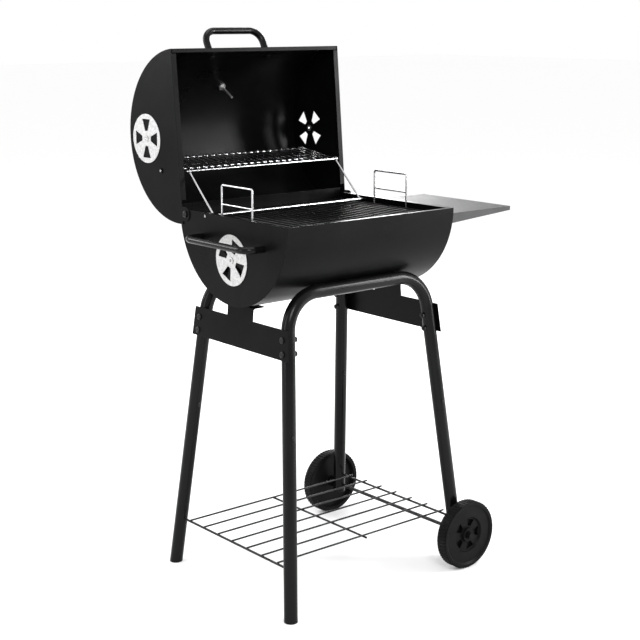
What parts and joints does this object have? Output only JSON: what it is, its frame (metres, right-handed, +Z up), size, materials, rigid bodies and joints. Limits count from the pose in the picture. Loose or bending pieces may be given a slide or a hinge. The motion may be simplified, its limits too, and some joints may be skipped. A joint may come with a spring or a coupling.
{
  "type": "barrel charcoal grill",
  "caption": "Barrel charcoal grill on a tubular wheeled stand: hinged lid with thermometer and turning vents, linked warming rack, grates, side shelf, side handle and wire shelf.",
  "frame": {"origin": "middle of the bounding box's base, on the floor, with the lid open", "axes": "+Z up, +X along the barrel towards the side shelf and the wheels, +Y from the front, where the closed lid has its handle, to the lid's hinge at the back"},
  "size_m": [0.716, 0.6104, 1.1559],
  "materials": {
    "satin_black": "satin black heat-proof enamel on sheet steel",
    "tube_black": "satin black powder coat on tube",
    "zinc": "bright zinc plate",
    "black_zinc": "black passivated zinc on steel fasteners",
    "chrome_wire": "bright chromed wire",
    "black_wire": "black enamelled wire",
    "black_plastic": "moulded black plastic with a light sheen",
    "dial_white": "white printed metal dial",
    "needle_red": "red enamel",
    "clear_glass": "clear flat glass",
    "shelf_grey": "dark grey powder coat with a fine grain"
  },
  "bodies": {
    "base": {"body_shell": "satin_black", "body_end_left": "satin_black", "body_end_right": "satin_black", "hinge_bolts": "black_zinc", "hinge_nuts": "black_zinc", "body_damper_rivets": "zinc", "cooking_grate": "black_wire", "grate_loops": "chrome_wire", "grate_rests": "satin_black", "charcoal_grate": "black_wire", "side_handle": "tube_black", "side_handle_bolts": "black_zinc", "side_shelf": "shelf_grey", "side_shelf_bolts": "black_zinc", "side_shelf_nuts": "black_zinc", "upper_frame_front": "tube_black", "upper_frame_rear": "tube_black", "leg_front_left": "tube_black", "leg_front_right": "tube_black", "leg_rear_left": "tube_black", "leg_rear_right": "tube_black", "leg_screws": "black_zinc", "foot_caps": "black_plastic", "bracket_left": "satin_black", "bracket_right": "satin_black", "bracket_bolts": "black_zinc", "bracket_nuts": "black_zinc", "barrel_bolts": "black_zinc", "barrel_nuts": "black_zinc", "bottom_shelf": "black_wire", "axle": "black_zinc", "wheel_spacers": "black_plastic", "axle_caps": "black_plastic"},
    "lid": {"lid_shell": "satin_black", "lid_end_left": "satin_black", "lid_end_right": "satin_black", "lid_handle": "tube_black", "lid_handle_bolts": "black_zinc", "gauge_case": "zinc", "gauge_dial": "dial_white", "gauge_lens": "clear_glass", "gauge_stem": "zinc", "gauge_nut": "zinc", "lid_damper_rivets": "zinc"},
    "warming_rack": {"warming_rack": "chrome_wire", "rack_caps": "black_plastic"},
    "rack_support": {"rack_support": "chrome_wire"},
    "gauge_needle": {"gauge_needle": "needle_red"},
    "lid_damper_left": {"lid_damper_left": "zinc"},
    "lid_damper_right": {"lid_damper_right": "zinc"},
    "body_damper_left": {"body_damper_left": "zinc"},
    "body_damper_right": {"body_damper_right": "zinc"},
    "wheel_front": {"wheel_front": "black_plastic"},
    "wheel_rear": {"wheel_rear": "black_plastic"}
  },
  "joints": [
    {"name": "lid_hinge", "type": "hinge", "parent": "base", "child": "lid", "pos_m": [-0.08655, 0.10087, 0.778], "axis": [1, 0, 0], "range_deg": [0, 95]},
    {"name": "rack_pivot", "type": "hinge", "parent": "lid", "child": "warming_rack", "pos_m": [-0.08655, 0.18687, 0.861], "axis": [1, 0, 0], "range_deg": [-95, 0]},
    {"name": "rack_support_pivot", "type": "hinge", "parent": "base", "child": "rack_support", "pos_m": [-0.08655, 0.03287, 0.781], "axis": [1, 0, 0], "range_deg": [0, 95]},
    {"name": "gauge_needle_turn", "type": "hinge", "parent": "lid", "child": "gauge_needle", "pos_m": [-0.08655, 0.28584, 1.03235], "axis": [0, -0.8572, -0.515], "range_deg": [0, 270], "stiffness_Nm_per_rad": 0.001},
    {"name": "lid_damper_left_turn", "type": "hinge", "parent": "lid", "child": "lid_damper_left", "pos_m": [-0.31055, 0.23886, 0.92553], "axis": [1, 0, 0], "continuous": true},
    {"name": "lid_damper_right_turn", "type": "hinge", "parent": "lid", "child": "lid_damper_right", "pos_m": [0.13745, 0.23886, 0.92553], "axis": [1, 0, 0], "continuous": true},
    {"name": "body_damper_left_turn", "type": "hinge", "parent": "base", "child": "body_damper_left", "pos_m": [-0.30955, -0.05813, 0.702], "axis": [1, 0, 0], "continuous": true},
    {"name": "body_damper_right_turn", "type": "hinge", "parent": "base", "child": "body_damper_right", "pos_m": [0.13645, -0.05813, 0.702], "axis": [1, 0, 0], "continuous": true},
    {"name": "wheel_front_spin", "type": "hinge", "parent": "base", "child": "wheel_front", "pos_m": [0.14511, -0.28613, 0.075], "axis": [0, 1, 0], "continuous": true},
    {"name": "wheel_rear_spin", "type": "hinge", "parent": "base", "child": "wheel_rear", "pos_m": [0.14511, 0.16987, 0.075], "axis": [0, 1, 0], "continuous": true}
  ],
  "couplings": [
    {"joint": "rack_pivot", "follows": "lid_hinge", "ratio": -1},
    {"joint": "rack_support_pivot", "follows": "lid_hinge", "ratio": 1}
  ]
}
